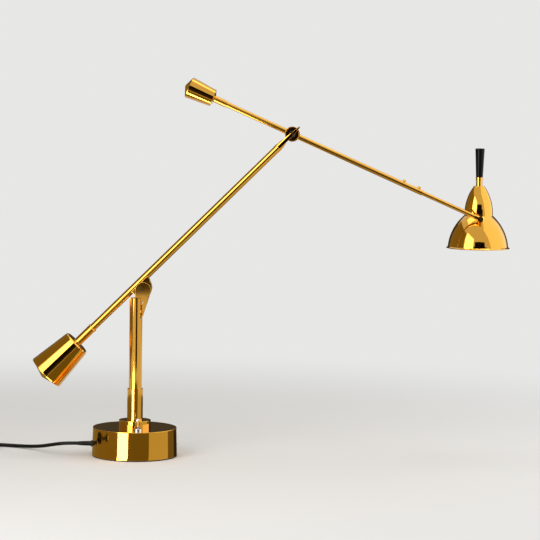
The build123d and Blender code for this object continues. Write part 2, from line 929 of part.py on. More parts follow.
def make_elbow_fork():
    root_end = fork_reach + fork_root_length
    blade = make_blade()
    root = rod(fork_root_radius, fork_root_start, root_end)
    root += rod(lower_bore - fixed_clearance, root_end, root_end + fork_spigot_length)
    fork = blade + mirror(blade, about=Plane.XZ) + TOWARDS_WEIGHT * root
    fork -= bar_y(elbow_pin_radius + fixed_clearance, -through, through)
    return LOWER * fork


def make_blade():
    """The far tongue of the fork: its outside is curved like the tube at its root."""
    start = fork_root_start + fork_root_overlap
    root = Pos(-start, 0) * Rectangle(
        start - tongue_heel_start, 2 * lower_tube_radius, align=(Align.MIN, Align.CENTER)
    )
    heel = Pos(-tongue_heel_x, tongue_heel_z) * Circle(tongue_heel_radius)
    eye = Circle(tongue_eye_radius)
    tip = Pos(tongue_tip - tongue_tip_radius, 0) * Circle(tongue_tip_radius)
    outline = make_hull([*root.edges(), *heel.edges()]) + make_hull([*heel.edges(), *eye.edges()])
    outline += make_hull([*eye.edges(), *tip.edges()])
    blade = slab(outline, tongue_face, tongue_outer)
    blade = fillet(blade.faces().sort_by(Axis.Y)[-1].edges(), tongue_round)
    return blade & bar_x(tongue_curve, -start, tongue_tip)


def make_elbow_screw():
    screw = bar_y(elbow_pin_radius, -tongue_outer, tongue_outer)
    head_face = -tongue_outer - elbow_pin_head_height
    screw += bar_y(elbow_pin_head_radius, head_face, -tongue_outer)
    screw -= hexagon_y(2.5, head_face - 1, head_face + 0.7)
    nut = hexagon_y(2 * elbow_nut_radius, tongue_outer, tongue_outer + elbow_nut_height)
    return LOWER * (screw + nut)


def make_shoulder_disc():
    """The disc below the arm: flat along the tube and across its rear end."""
    reach = 2 * shoulder_disc_radius
    rise = shoulder_disc_rise - shoulder_offset
    toe_z = -shoulder_disc_drop - shoulder_toe_radius
    toe = Pos(shoulder_toe_reach - shoulder_reach, toe_z) * Circle(shoulder_toe_radius)
    round_part = Pos(-shoulder_reach, rise) * Circle(shoulder_disc_radius)
    outline = make_hull([*round_part.edges(), *toe.edges()])
    outline &= Pos(-shoulder_reach - shoulder_disc_back, -shoulder_disc_drop) * Rectangle(
        2 * reach, 2 * reach, align=(Align.MIN, Align.MAX)
    )
    disc = slab(outline, -disc_half, disc_half)
    faces = disc.faces().sort_by(Axis.Y)
    disc = fillet(faces[0].edges() + faces[-1].edges(), edge_round)
    disc -= TOWARDS_WEIGHT * rod(
        lower_tube_radius + fixed_clearance, shoulder_reach - reach, shoulder_reach + reach
    )
    disc -= bar_y(
        shoulder_pin_radius + running_clearance,
        -through,
        through,
        -shoulder_reach,
        -shoulder_offset,
    )
    return LOWER * disc


def make_shoulder_washers():
    rings = []
    for side in (-1, 1):
        ends = sorted((side * disc_half, side * cheek_face))
        ring = bar_y(shoulder_washer_radius, *ends)
        ring -= bar_y(shoulder_pin_radius + 0.1, *ends)
        rings.append(LOWER * Pos(-shoulder_reach, 0, -shoulder_offset) * ring)
    return Compound(rings)


def make_rear_sleeve():
    start = rear_sleeve_start + ferrule_length
    end = large_weight_start - ferrule_length
    return along_lower(
        pipe(rear_sleeve_radius, lower_tube_radius + fixed_clearance, start, end)
    )


def make_ferrule_rings():
    rings = []
    for start in (rear_sleeve_start, large_weight_start - ferrule_length):
        ring = pipe(
            ferrule_radius, lower_tube_radius + fixed_clearance, start, start + ferrule_length
        )
        outer = ring.edges().filter_by(GeomType.CIRCLE).sort_by(SortBy.RADIUS)[-2:]
        rings.append(along_lower(fillet(outer, 0.7)))
    return Compound(rings)


def cone_radius(distance, start, length, narrow, wide):
    return narrow + (wide - narrow) * (distance - start) / length


def make_large_shell():
    start = large_weight_start
    end = start + large_weight_length
    inner_start = start + large_shell_wall
    inner_narrow = cone_radius(
        inner_start, start, large_weight_length, large_narrow_radius, large_wide_radius
    )
    bore = lower_tube_radius + fixed_clearance
    return along_lower(
        turned(
            [
                (bore, start),
                (large_narrow_radius - large_chamfer, start),
                (large_narrow_radius, start + large_chamfer),
                (large_wide_radius, end),
                (large_wide_radius - large_shell_wall, end),
                (inner_narrow - large_shell_wall, inner_start),
                (bore, inner_start),
            ]
        )
    )


def make_large_core():
    start = large_weight_start + large_shell_wall
    end = large_weight_start + large_weight_length
    inner_narrow = cone_radius(
        start, large_weight_start, large_weight_length, large_narrow_radius, large_wide_radius
    )
    tube_end = large_weight_start + arm_tube_overlap
    bore = lower_tube_radius + fixed_clearance
    return along_lower(
        turned(
            [
                (bore, start),
                (inner_narrow - large_shell_wall - 0.1, start),
                (large_wide_radius - large_shell_wall - 0.1, end),
                (0, end),
                (0, tube_end),
                (bore, tube_end),
            ]
        )
    )


def make_large_cap():
    end = large_weight_start + large_weight_length
    apex = end + large_cap_height
    return along_lower(
        turned(
            [
                (0, end),
                (large_wide_radius - 0.6, end),
                (large_wide_radius - 0.6, end + large_cap_rim),
                (3.0, apex - 0.7),
                (0, apex),
            ]
        )
    )


def make_lower_wire():
    start = fork_reach + fork_root_length + fork_spigot_length
    return along_lower(rod(wire_radius, start, shoulder_reach))


# ---- upper arm: drawn with the elbow at the origin and the shade towards +X ----
def along_upper(shape):
    """Place a piece turned about Z so that Z runs from the elbow to the shade."""
    return UPPER * TOWARDS_SHADE * shape


def behind_upper(shape):
    """Place a piece turned about Z so that Z runs from the elbow to the small weight."""
    return UPPER * TOWARDS_WEIGHT * shape


def rim_edges(disc, radius, face):
    """The two round edges of a disc on its crosswise axis, at a radius and a distance."""
    found = []
    for edge in disc.edges().filter_by(GeomType.CIRCLE):
        same_radius = abs(edge.radius - radius) < 0.001
        same_face = abs(abs(edge.arc_center.Y) - face) < 0.001
        if same_radius and same_face:
            found.append(edge)
    return found


def make_elbow_disc():
    recess = elbow_half - elbow_face_recess
    rim_face = elbow_half + elbow_rim_rise
    disc = ALONG_Y * turned(
        [
            (elbow_pin_radius + running_clearance, -elbow_half),
            (elbow_hub_radius, -elbow_half),
            (elbow_hub_radius, -recess),
            (elbow_disc_radius - elbow_rim_width, -recess),
            (elbow_disc_radius - elbow_rim_width, -rim_face),
            (elbow_disc_radius, -rim_face),
            (elbow_disc_radius, rim_face),
            (elbow_disc_radius - elbow_rim_width, rim_face),
            (elbow_disc_radius - elbow_rim_width, recess),
            (elbow_hub_radius, recess),
            (elbow_hub_radius, elbow_half),
            (elbow_pin_radius + running_clearance, elbow_half),
        ]
    )
    disc = fillet(rim_edges(disc, elbow_disc_radius, rim_face), elbow_rim_round)
    inner = elbow_disc_radius - elbow_rim_width
    disc = fillet(rim_edges(disc, inner, rim_face), elbow_rim_inner_round)
    for way in (TOWARDS_SHADE, TOWARDS_WEIGHT):
        stub = rod(upper_tube_radius, elbow_disc_radius - 1.5, stub_length)
        stub += rod(upper_bore - fixed_clearance, stub_length, stub_length + spigot_length)
        disc += way * stub
    return UPPER * disc


def make_elbow_washers():
    rings = []
    for side in (-1, 1):
        ends = sorted((side * elbow_half, side * tongue_face))
        ring = bar_y(elbow_hub_radius, *ends) - bar_y(elbow_pin_radius + 0.1, *ends)
        rings.append(UPPER * ring)
    return Compound(rings)


def make_front_tube():
    tube = pipe(upper_tube_radius, upper_bore, stub_length, upper_tube_end)
    for position in knob_positions:
        tube -= Pos(0, 0, position) * Rot(0, -90, 0) * rod(knob_stem_radius, 0, 10)
    return along_upper(tube)


def make_rear_tube():
    end = small_weight_start + arm_tube_overlap
    return behind_upper(pipe(upper_tube_radius, upper_bore, stub_length, end))


def make_small_sleeve():
    bore = upper_tube_radius + fixed_clearance
    sleeve = pipe(small_sleeve_radius, bore, small_sleeve_start, small_sleeve_end)
    outer = sleeve.edges().filter_by(GeomType.CIRCLE).sort_by(SortBy.RADIUS)[-2:]
    return behind_upper(fillet(outer, 0.5))


def small_inner_narrow():
    start = small_weight_start + small_shell_wall
    return cone_radius(
        start, small_weight_start, small_weight_length, small_narrow_radius, small_wide_radius
    )


def make_small_shell():
    start = small_weight_start
    end = start + small_weight_length
    bore = upper_tube_radius + fixed_clearance
    return behind_upper(
        turned(
            [
                (bore, small_sleeve_end),
                (small_sleeve_radius + 0.8, small_sleeve_end),
                (small_narrow_radius, start),
                (small_wide_radius, end),
                (small_wide_radius - small_shell_wall, end),
                (small_inner_narrow() - small_shell_wall, start + small_shell_wall),
                (bore, start + small_shell_wall),
            ]
        )
    )


def make_small_core():
    start = small_weight_start + small_shell_wall
    end = small_weight_start + small_weight_length
    tube_end = small_weight_start + arm_tube_overlap
    bore = upper_tube_radius + fixed_clearance
    return behind_upper(
        turned(
            [
                (bore, start),
                (small_inner_narrow() - small_shell_wall - 0.1, start),
                (small_wide_radius - small_shell_wall - 0.1, end),
                (0, end),
                (0, tube_end),
                (bore, tube_end),
            ]
        )
    )


def make_small_cap():
    end = small_weight_start + small_weight_length
    apex = end + small_cap_height
    return behind_upper(
        turned(
            [
                (0, end),
                (small_wide_radius - 0.4, end),
                (small_wide_radius - 0.4, end + 0.8),
                (2.0, apex - 0.6),
                (0, apex),
            ]
        )
    )


def make_clamp_knobs():
    knobs = []
    for position in knob_positions:
        stem = rod(knob_stem_radius - fixed_clearance, rod_radius + 0.12, upper_tube_radius + 0.4)
        head = rod(knob_radius, upper_tube_radius + 0.2, upper_tube_radius + 0.2 + knob_height)
        top = head.edges().filter_by(GeomType.CIRCLE).sort_by(Axis.Z)[-1]
        knob = fillet(top, 0.8) + stem
        knobs.append(along_upper(Pos(0, 0, position) * Rot(0, -90, 0) * knob))
    return Compound(knobs)


def make_upper_wire():
    return along_upper(rod(wire_radius, stub_length + spigot_length, rod_start - 1))


# ---- tip rod ----
def make_tip_rod():
    end = tip_reach - eye_neck_length + eye_socket_depth
    return along_upper(pipe(rod_radius, rod_radius - 1.2, rod_start, end))


def make_tip_eye():
    half = eye_thickness / 2
    eye = Pos(tip_reach, 0, 0) * bar_y(eye_radius, -half, half)
    neck_start = tip_reach - eye_neck_length
    neck = TOWARDS_SHADE * rod(eye_neck_radius, neck_start, tip_reach - 2)
    neck &= block((0, -half, -20), (tip_reach, half, 20))
    eye += neck
    eye -= TOWARDS_SHADE * rod(
        rod_radius + fixed_clearance, neck_start - 1, neck_start + eye_socket_depth
    )
    eye -= Pos(tip_reach, 0, 0) * bar_y(shade_pin_radius + running_clearance, -20, 20)
    return UPPER * eye


# ---- shade: drawn with its waist at the origin and its axis along Z ----
def dome_line(inset):
    """The dome's outline, moved inwards by inset."""
    wide = (dome_radius - inset, dome_straight)
    middle = (dome_mid_radius - inset, dome_mid_height - inset / 3)
    narrow = (dome_top_radius - inset, dome_height - inset)
    return [
        Line((0, 0), (dome_radius - inset, 0)),
        Line((dome_radius - inset, 0), wide),
        ThreePointArc(wide, middle, narrow),
        Line(narrow, (0, dome_height - inset)),
        Line((0, dome_height - inset), (0, 0)),
    ]


def make_shade_dome():
    dome = turned_face(dome_line(0)) - turned_face(dome_line(shade_wall))
    dome -= rod(stud_radius + fixed_clearance, dome_height - 5, dome_height + 5)
    dome -= boss_bar(boss_radius + fixed_clearance)
    return SHADE * dome


def bell_line(inset):
    """The bell's outline below the waist, moved inwards by inset."""
    neck = (bell_neck_radius - inset, 0)
    middle = (bell_mid_radius - 0.75 * inset, -bell_mid_drop - 0.65 * inset)
    foot = (bell_radius - inset, -bell_height)
    return [
        Line((0, 0), neck),
        ThreePointArc(neck, middle, foot),
        Line(foot, (0, -bell_height)),
        Line((0, -bell_height), (0, 0)),
    ]


def make_shade_bell():
    bell = turned_face(bell_line(0)) - turned_face(bell_line(shade_wall))
    bell += turned(
        [
            (bell_radius - shade_wall, -bell_height),
            (bell_radius - 0.1, -bell_height + rim_height),
            (rim_radius - 0.6, -bell_height + rim_height * 0.45),
            (rim_radius, -bell_height + 0.6),
            (rim_radius - 0.6, -bell_height),
        ]
    )
    bell -= boss_bar(boss_radius + fixed_clearance)
    return SHADE * bell


def boss_bar(radius):
    """The side boss's bar, from the pivot's washer to the waist ring."""
    reach = shade_setback - boss_face
    inner = dome_radius - shade_wall - waist_ring_wall
    return bar_y(radius, -reach, -inner, z=-waist_above_pivot)


def make_shade_bracket():
    """The ring inside the waist that joins both shells, with the side boss on it."""
    outer = dome_radius - shade_wall - 2 * fixed_clearance
    bracket = boss_bar(boss_radius) - rod(outer - waist_ring_wall / 2, -20, 20)
    bracket += pipe(outer, outer - waist_ring_wall, -waist_ring_height, waist_ring_height / 2)
    bracket -= bar_y(
        shade_pin_radius + fixed_clearance,
        -shade_setback,
        -shade_setback + boss_face + shade_pin_grip,
        z=-waist_above_pivot,
    )
    return SHADE * bracket


def make_shade_screw():
    half = eye_thickness / 2
    screw = bar_y(shade_pin_radius, -half, boss_face + shade_pin_grip)
    screw += bar_y(shade_pin_head_radius, -half - 1.6, -half)
    screw -= hexagon_y(2.5, -half - 3, -half - 0.6)
    return Pos(pivot_x, 0, pivot_z) * screw


def make_neck_ferrules():
    """The lower ferrule, and above it a thinner neck with the handle's collar."""
    bore = stud_radius + fixed_clearance
    low = dome_height
    split = low + neck_ferrule_height
    lower = pipe(ferrule_neck_radius, bore, low, split)
    upper = pipe(ferrule_neck_radius - 0.9, bore, split, split + neck_groove)
    upper += pipe(handle_foot_radius + 0.2, bore, split + neck_groove, handle_bottom())
    return SHADE * Compound([lower, upper])


def handle_bottom():
    return dome_height + neck_ferrule_height + neck_groove + collar_ring_height


def make_shade_handle():
    low = handle_bottom()
    high = low + handle_height
    handle = turned([(0, low), (handle_foot_radius, low), (handle_top_radius, high), (0, high)])
    top = handle.edges().filter_by(GeomType.CIRCLE).sort_by(Axis.Z)[-1]
    handle = fillet(top, handle_round)
    handle -= rod(stud_radius + fixed_clearance, low - 1, low + stud_depth)
    return SHADE * handle


def make_handle_stud():
    return SHADE * rod(stud_radius, dome_height - holder_top_gap, handle_bottom() + stud_depth)


def make_lamp_holder():
    top = dome_height - holder_top_gap
    low = top - holder_height
    bore = bulb_neck_radius + fixed_clearance
    holder = turned(
        [
            (0, top),
            (holder_neck_radius, top),
            (holder_radius, top - holder_bevel),
            (holder_radius, low),
            (bore, low),
            (bore, top - holder_bore_depth),
            (0, top - holder_bore_depth),
        ]
    )
    return SHADE * holder


def bulb_solid(inset):
    """The bulb's round glass and its neck, moved inwards by inset."""
    centre = -globe_drop
    top = dome_height - holder_top_gap - holder_bore_depth
    globe = Pos(0, 0, centre) * Sphere(globe_radius - inset)
    neck = turned(
        [
            (0, centre),
            (globe_radius * 0.8 - inset, centre + globe_radius * 0.6),
            (bulb_neck_radius - inset, centre + globe_radius + bulb_shoulder),
            (bulb_neck_radius - inset, top),
            (0, top),
        ]
    )
    return globe + neck


def make_bulb():
    return SHADE * (bulb_solid(0) - bulb_solid(bulb_wall))


PIECES = {
    "base_pad": make_base_pad,
    "base_plate": make_base_plate,
    "base_tie_screws": make_tie_screws,
    "base_ballast": make_ballast,
    "base_shell": make_base_shell,
    "base_collar": make_base_collar,
    "column_sleeve": make_column_sleeve,
    "sleeve_nut": make_sleeve_nut,
    "swivel_bushes": make_swivel_bushes,
    "swivel_stop_screw": make_stop_screw,
    "terminal_block": make_terminal_block,
    "switch_body": make_switch_body,
    "switch_nut": make_switch_nut,
    "switch_lever": make_switch_lever,
    "cord_gland": make_cord_gland,
    "cord_relief": make_cord_relief,
    "inner_lead": make_inner_lead,
    "cord_run": lambda: make_tube(run_points, "run"),
    "cord_coil": make_cord_coil,
    "cord_tail": lambda: make_tube(tail_points, "tail"),
    "cord_tie": make_cord_tie,
    "plug_body": make_plug,
    "plug_pins": make_plug_pins,
    "column_tube": make_column_tube,
    "column_head": make_column_head,
    "head_screws": make_head_screws,
    "shoulder_screw": make_shoulder_screw,
    "column_wire": make_column_wire,
    "lower_arm_tube": make_lower_tube,
    "elbow_fork": make_elbow_fork,
    "elbow_screw": make_elbow_screw,
    "shoulder_disc": make_shoulder_disc,
    "shoulder_washers": make_shoulder_washers,
    "rear_sleeve": make_rear_sleeve,
    "ferrule_rings": make_ferrule_rings,
    "large_weight_shell": make_large_shell,
    "large_weight_core": make_large_core,
    "large_weight_cap": make_large_cap,
    "lower_arm_wire": make_lower_wire,
    "elbow_disc": make_elbow_disc,
    "elbow_washers": make_elbow_washers,
    "upper_front_tube": make_front_tube,
    "upper_rear_tube": make_rear_tube,
    "small_sleeve": make_small_sleeve,
    "small_weight_shell": make_small_shell,
    "small_weight_core": make_small_core,
    "small_weight_cap": make_small_cap,
    "clamp_knobs": make_clamp_knobs,
    "upper_arm_wire": make_upper_wire,
    "tip_rod": make_tip_rod,
    "tip_eye": make_tip_eye,
    "shade_dome": make_shade_dome,
    "shade_bell": make_shade_bell,
    "shade_bracket": make_shade_bracket,
    "neck_ferrules": make_neck_ferrules,
    "shade_screw": make_shade_screw,
    "shade_handle": make_shade_handle,
    "handle_stud": make_handle_stud,
    "lamp_holder": make_lamp_holder,
    "bulb": make_bulb,
}

os.makedirs("parts", exist_ok=True)
for node, make in PIECES.items():
    export_step(make(), f"parts/{node}.step")
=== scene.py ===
# %% [markdown]
# A desk lamp on two balanced arms, in polished brass. The solids of its metalwork come from the
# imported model, already in place and in metres. This file adds what a solid can't say: the finish
# of each surface, the cord as one soft line, and the small moulded details.

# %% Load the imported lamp
import math

import bmesh
import bpy
from mathutils import Matrix, Vector


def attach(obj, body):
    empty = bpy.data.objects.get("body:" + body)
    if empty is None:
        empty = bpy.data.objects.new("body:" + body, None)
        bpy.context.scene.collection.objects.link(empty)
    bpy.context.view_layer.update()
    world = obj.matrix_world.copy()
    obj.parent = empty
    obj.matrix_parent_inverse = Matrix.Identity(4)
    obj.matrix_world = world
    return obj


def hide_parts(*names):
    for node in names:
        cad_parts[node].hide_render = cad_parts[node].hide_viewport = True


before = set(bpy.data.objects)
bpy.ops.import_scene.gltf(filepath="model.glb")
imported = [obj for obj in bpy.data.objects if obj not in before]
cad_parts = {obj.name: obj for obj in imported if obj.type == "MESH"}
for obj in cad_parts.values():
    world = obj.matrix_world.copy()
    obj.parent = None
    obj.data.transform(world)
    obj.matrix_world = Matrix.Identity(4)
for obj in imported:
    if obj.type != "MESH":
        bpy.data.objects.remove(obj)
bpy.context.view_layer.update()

# %% [markdown]
# The photograph is taken from far away with a long lens: verticals stay nearly parallel and the
# base's top shows as a thin ellipse. So the camera stands 4.4 m off, a little above the lamp,
# tips 4.5 degrees down, and leans under one degree, as the picture does. Its lens is worked out
# from how wide a piece of the world it has to take in at the lamp.

# %% The camera
camera_aim = Vector((0.2441, 0.0, 0.3461))
camera_distance = 4.4
camera_pitch = math.radians(4.5)
camera_lean = math.radians(0.9)
view_width = 0.988
sensor_width = 36.0

forward = Vector((0.0, math.cos(camera_pitch), -math.sin(camera_pitch)))
level_right = Vector((1.0, 0.0, 0.0))
level_up = level_right.cross(forward)
camera_up = level_up * math.cos(camera_lean) - level_right * math.sin(camera_lean)
camera_right = level_right * math.cos(camera_lean) + level_up * math.sin(camera_lean)

camera_data = bpy.data.cameras.new("camera")
camera_data.sensor_width = sensor_width
camera_data.lens = sensor_width * camera_distance / view_width
camera = bpy.data.objects.new("camera", camera_data)
bpy.context.scene.collection.objects.link(camera)
turn = Matrix((camera_right, camera_up, -forward)).transposed()
camera.matrix_world = Matrix.Translation(camera_aim - forward * camera_distance) @ turn.to_4x4()
bpy.context.scene.camera = camera
bpy.context.scene.view_settings.view_transform = "Standard"
print("lens in mm:", round(camera_data.lens, 1))

# %% [markdown]
# Every finish is a small graph of shader nodes. They share a few steps, so these come first:
# a new material, a noise in the piece's own coordinates, a spread that turns a noise into a
# narrow range, two colours that it drifts between, and a bump. Own coordinates keep a pattern
# on the piece when the lamp moves.

# %% Helpers for the finishes
# Most of a noise's values lie between these two.
NOISE_LOW = 0.3
NOISE_HIGH = 0.7


def new_finish(name):
    """A material, its node tree and its main shader."""
    finish = bpy.data.materials.new(name)
    finish.use_nodes = True
    tree = finish.node_tree
    shader = tree.nodes["Principled BSDF"]
    return finish, tree, shader


def own_coordinates(tree):
    """The piece's own coordinates, in metres."""
    place = tree.nodes.new("ShaderNodeTexCoord")
    return place.outputs["Object"]


def add_noise(tree, vector, scale, detail):
    """A noise's value at each point."""
    noise = tree.nodes.new("ShaderNodeTexNoise")
    noise.inputs["Scale"].default_value = scale
    noise.inputs["Detail"].default_value = detail
    tree.links.new(vector, noise.inputs["Vector"])
    return noise.outputs["Fac"]


def spread(tree, value, low, high):
    """A noise's value, spread between two others."""
    span = tree.nodes.new("ShaderNodeMapRange")
    span.inputs["From Min"].default_value = NOISE_LOW
    span.inputs["From Max"].default_value = NOISE_HIGH
    span.inputs["To Min"].default_value = low
    span.inputs["To Max"].default_value = high
    tree.links.new(value, span.inputs["Value"])
    return span.outputs["Result"]


def two_colours(tree, value, first, second):
    """One colour where the value is low and another where it is high."""
    ramp = tree.nodes.new("ShaderNodeValToRGB")
    ramp.color_ramp.elements[0].position = NOISE_LOW
    ramp.color_ramp.elements[0].color = (*first, 1.0)
    ramp.color_ramp.elements[1].position = NOISE_HIGH
    ramp.color_ramp.elements[1].color = (*second, 1.0)
    tree.links.new(value, ramp.inputs["Fac"])
    return ramp.outputs["Color"]


def add_bump(tree, shader, height, strength, distance):
    """Small relief from a height."""
    bump = tree.nodes.new("ShaderNodeBump")
    bump.inputs["Strength"].default_value = strength
    bump.inputs["Distance"].default_value = distance
    tree.links.new(height, bump.inputs["Height"])
    tree.links.new(bump.outputs["Normal"], shader.inputs["Normal"])


print("a noise is taken to run from", NOISE_LOW, "to", NOISE_HIGH)

# %% [markdown]
# The brass is polished to a mirror and lacquered. A perfect mirror looks false, so the gloss
# varies a little, as wiping leaves it, the colour drifts between two near tones of gold, and
# very fine rubbing marks bend the reflections. The ring inside the shade's waist was never
# polished or lacquered, so its brass is duller and paler.

# %% Polished brass
BRASS_TONES = ((0.79, 0.40, 0.045), (0.74, 0.36, 0.034))
INNER_TONES = ((0.80, 0.50, 0.15), (0.74, 0.45, 0.13))


def polished_brass(name, light, deep, gloss=(0.04, 0.08), marks=0.008, lacquer=0.5):
    """Brass that drifts between two tones, under a clear lacquer."""
    finish, tree, shader = new_finish(name)
    place = own_coordinates(tree)
    wiping = add_noise(tree, place, scale=22.0, detail=4.0)
    tone = add_noise(tree, place, scale=9.0, detail=2.0)
    rubbing = add_noise(tree, place, scale=260.0, detail=2.0)
    tree.links.new(two_colours(tree, tone, light, deep), shader.inputs["Base Color"])
    tree.links.new(spread(tree, wiping, *gloss), shader.inputs["Roughness"])
    shader.inputs["Metallic"].default_value = 1.0
    shader.inputs["Coat Weight"].default_value = lacquer
    shader.inputs["Coat Roughness"].default_value = 0.04
    add_bump(tree, shader, rubbing, strength=marks, distance=0.0001)
    return finish


brass = polished_brass("polished_brass", *BRASS_TONES)
inner_brass = polished_brass(
    "inner_brass", *INNER_TONES, gloss=(0.22, 0.34), marks=0.04, lacquer=0.0
)
print("plain brass:", brass.name, "and", inner_brass.name)

# %% [markdown]
# The pivot screws have sockets for a key, which the photograph shows as small black holes. The
# solids have them too, but a polished hole would mirror the room. So the screw's finish is painted
# black and dull within a small distance of its own axis: painted shade in the socket.
# The column's head has a brass button screw and, below it, a black set screw. They are one node
# of the model, so its finish changes at a height.

# %% Brass screws with painted shade in their sockets
# Black for the painted shade in the sockets, and for the set screw's own black.
SHADE_AND_SET_SCREW_BLACK = (0.008, 0.008, 0.008, 1.0)
SOCKET_DULL = (0.5, 0.5, 0.5, 1.0)
# The numbers of a colour mix's sockets: it has others of the same names.
MIX_FIRST = 6
MIX_SECOND = 7
MIX_RESULT = 2

# Where each pivot's crosswise axis is, seen from the front: x and z.
SHOULDER_AXIS = (0.0125, 0.3062)
ELBOW_AXIS = (0.28085, 0.59505)
SHADE_AXIS = (0.62698, 0.44491)
SET_SCREW_TOP = 0.261


def blacken_for_shade_and_set_screw(finish, share):
    """Turn a finish black and dull where a share is 1: painted shade in a socket, and the set
    screw's own black.
    """
    tree = finish.node_tree
    shader = tree.nodes["Principled BSDF"]
    for socket, value in (("Base Color", SHADE_AND_SET_SCREW_BLACK), ("Roughness", SOCKET_DULL)):
        mix = tree.nodes.new("ShaderNodeMix")
        mix.data_type = "RGBA"
        tree.links.new(share, mix.inputs["Factor"])
        tree.links.new(shader.inputs[socket].links[0].from_socket, mix.inputs[MIX_FIRST])
        mix.inputs[MIX_SECOND].default_value = value
        tree.links.new(mix.outputs[MIX_RESULT], shader.inputs[socket])
    bright = tree.nodes.new("ShaderNodeMath")
    bright.operation = "SUBTRACT"
    bright.inputs[0].default_value = 1.0
    tree.links.new(share, bright.inputs[1])
    tree.links.new(bright.outputs["Value"], shader.inputs["Metallic"])


def below(tree, value, limit):
    """1 where a value is below a limit, and 0 elsewhere."""
    less = tree.nodes.new("ShaderNodeMath")
    less.operation = "LESS_THAN"
    less.inputs[1].default_value = limit
    tree.links.new(value, less.inputs[0])
    return less.outputs["Value"]


def brass_with_painted_socket_shade(name, axis, radius):
    """Brass with painted shade: black within a radius of a crosswise axis, for a socket."""
    finish = polished_brass(name, *BRASS_TONES)
    tree = finish.node_tree
    flat = tree.nodes.new("ShaderNodeVectorMath")
    flat.operation = "MULTIPLY_ADD"
    flat.inputs[1].default_value = (1.0, 0.0, 1.0)
    flat.inputs[2].default_value = (-axis[0], 0.0, -axis[1])
    tree.links.new(own_coordinates(tree), flat.inputs[0])
    distance = tree.nodes.new("ShaderNodeVectorMath")
    distance.operation = "LENGTH"
    tree.links.new(flat.outputs["Vector"], distance.inputs[0])
    # Painted shade: the socket goes black within its radius of the axis.
    blacken_for_shade_and_set_screw(finish, below(tree, distance.outputs["Value"], radius))
    return finish


shoulder_brass = brass_with_painted_socket_shade("shoulder_screw_brass", SHOULDER_AXIS, radius=0.0017)
elbow_brass = brass_with_painted_socket_shade("elbow_screw_brass", ELBOW_AXIS, radius=0.0014)
shade_screw_brass = brass_with_painted_socket_shade("shade_screw_brass", SHADE_AXIS, radius=0.0016)

head_screw_brass = polished_brass("head_screw_brass", *BRASS_TONES)
head_tree = head_screw_brass.node_tree
head_split = head_tree.nodes.new("ShaderNodeSeparateXYZ")
head_tree.links.new(own_coordinates(head_tree), head_split.inputs["Vector"])
blacken_for_shade_and_set_screw(head_screw_brass, below(head_tree, head_split.outputs["Z"], SET_SCREW_TOP))
print("screws with sockets at:", SHOULDER_AXIS, ELBOW_AXIS, SHADE_AXIS)

# %% [markdown]
# The other metals are few: chrome on the switch and the plug's pins, plain steel under and inside
# the base, blackened steel on the stop screw, and rough cast iron, which is hidden inside the
# base and the weights. One helper makes them all, because they differ only in colour, gloss and
# how coarse their grain is.

# %% Other metals
def plain_metal(name, colour, gloss, grain, marks, metallic=1.0):
    """A metal with an even grain and a slight drift in tone."""
    finish, tree, shader = new_finish(name)
    place = own_coordinates(tree)
    tone = add_noise(tree, place, scale=grain / 6.0, detail=3.0)
    wear = add_noise(tree, place, scale=grain, detail=3.0)
    dim = tuple(0.86 * part for part in colour)
    tree.links.new(two_colours(tree, tone, colour, dim), shader.inputs["Base Color"])
    tree.links.new(spread(tree, wear, *gloss), shader.inputs["Roughness"])
    shader.inputs["Metallic"].default_value = metallic
    add_bump(tree, shader, wear, strength=marks, distance=0.0002)
    return finish


chrome = plain_metal(
    "chrome", (0.80, 0.80, 0.81), gloss=(0.05, 0.11), grain=700.0, marks=0.03
)
# The lever's chrome is rougher, and painted lighter than the other chrome so that it shows bright:
# painted light.
lever_chrome_painted_lighter = plain_metal(
    "lever_chrome_painted_lighter", (0.88, 0.87, 0.85), gloss=(0.20, 0.28), grain=700.0, marks=0.03
)
steel = plain_metal(
    "plain_steel", (0.50, 0.50, 0.49), gloss=(0.26, 0.38), grain=1400.0, marks=0.15
)
black_steel = plain_metal(
    "black_steel", (0.030, 0.029, 0.028), gloss=(0.22, 0.34), grain=1800.0, marks=0.12,
    metallic=0.6,
)
cast_iron = plain_metal(
    "cast_iron", (0.13, 0.125, 0.12), gloss=(0.60, 0.78), grain=900.0, marks=0.5,
    metallic=0.4,
)
other_metals = (chrome, lever_chrome_painted_lighter, steel, black_steel, cast_iron)
print("other metals:", [metal.name for metal in other_metals])

# %% [markdown]
# The black pieces differ in gloss: the handle is glossy, the plug moulded and satin, the switch
# matte, and the cord's sheath soft, with faint marks where it was drawn. A black that is truly
# black would hide their shape, so each keeps a little colour and reflects a little.

# %% Black plastics and rubber
def dark_mould(name, darkness, gloss, grain, marks, shine):
    """A black plastic or rubber with a fine skin and cloudy gloss."""
    finish, tree, shader = new_finish(name)
    place = own_coordinates(tree)
    skin = add_noise(tree, place, scale=grain, detail=4.0)
    cloud = add_noise(tree, place, scale=30.0, detail=3.0)
    colour = (darkness, darkness, darkness)
    lighter = tuple(1.5 * part for part in colour)
    tree.links.new(two_colours(tree, cloud, colour, lighter), shader.inputs["Base Color"])
    tree.links.new(spread(tree, cloud, *gloss), shader.inputs["Roughness"])
    shader.inputs["Specular IOR Level"].default_value = shine
    add_bump(tree, shader, skin, strength=marks, distance=0.0002)
    return finish


